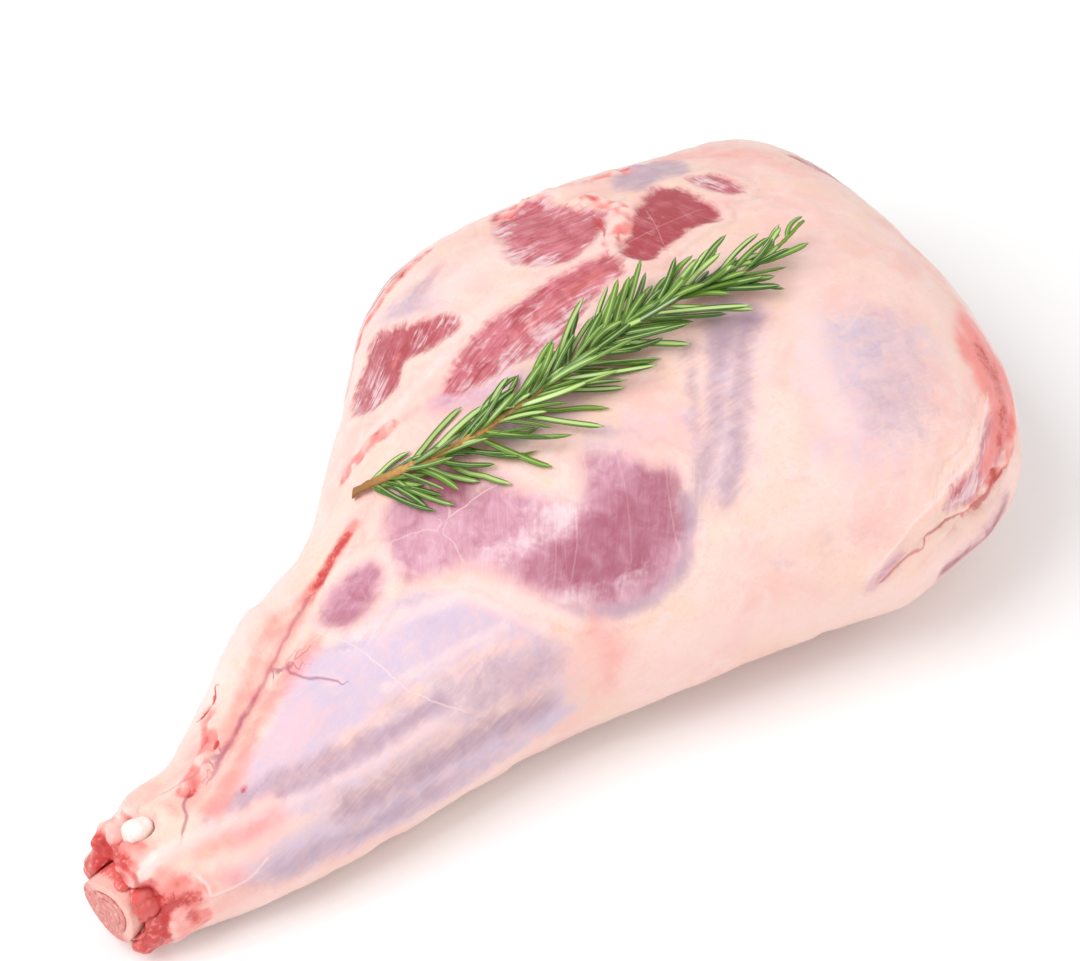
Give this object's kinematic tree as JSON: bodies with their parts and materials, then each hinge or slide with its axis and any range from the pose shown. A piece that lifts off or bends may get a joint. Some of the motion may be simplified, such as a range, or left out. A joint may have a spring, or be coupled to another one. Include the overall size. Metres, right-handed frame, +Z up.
{
  "type": "raw leg of lamb",
  "caption": "Whole raw leg of lamb with its shank on: a broad rounded butt tapering to the sawn shin bone, and a rosemary sprig lying on top.",
  "frame": {"origin": "middle of the whole part's footprint, on the surface it lies on", "axes": "+X along the leg from the sawn shank to the butt, -Y the near side, +Z up from the surface it lies on"},
  "size_m": [0.3667, 0.2105, 0.1195],
  "materials": {
    "flesh": "moist pale pink fat and thin membrane with windows of red lean",
    "bone": "damp sawn bone, cream ring round a pink spongy middle",
    "cartilage": "smooth wet white cartilage",
    "rosemary": "leathery green needles with pale undersides on a brown woody stem"
  },
  "bodies": {
    "root": {"meat": "flesh", "shank_bone": "bone", "hock_cartilage": "cartilage", "rosemary_sprig": "rosemary"}
  },
  "joints": []
}
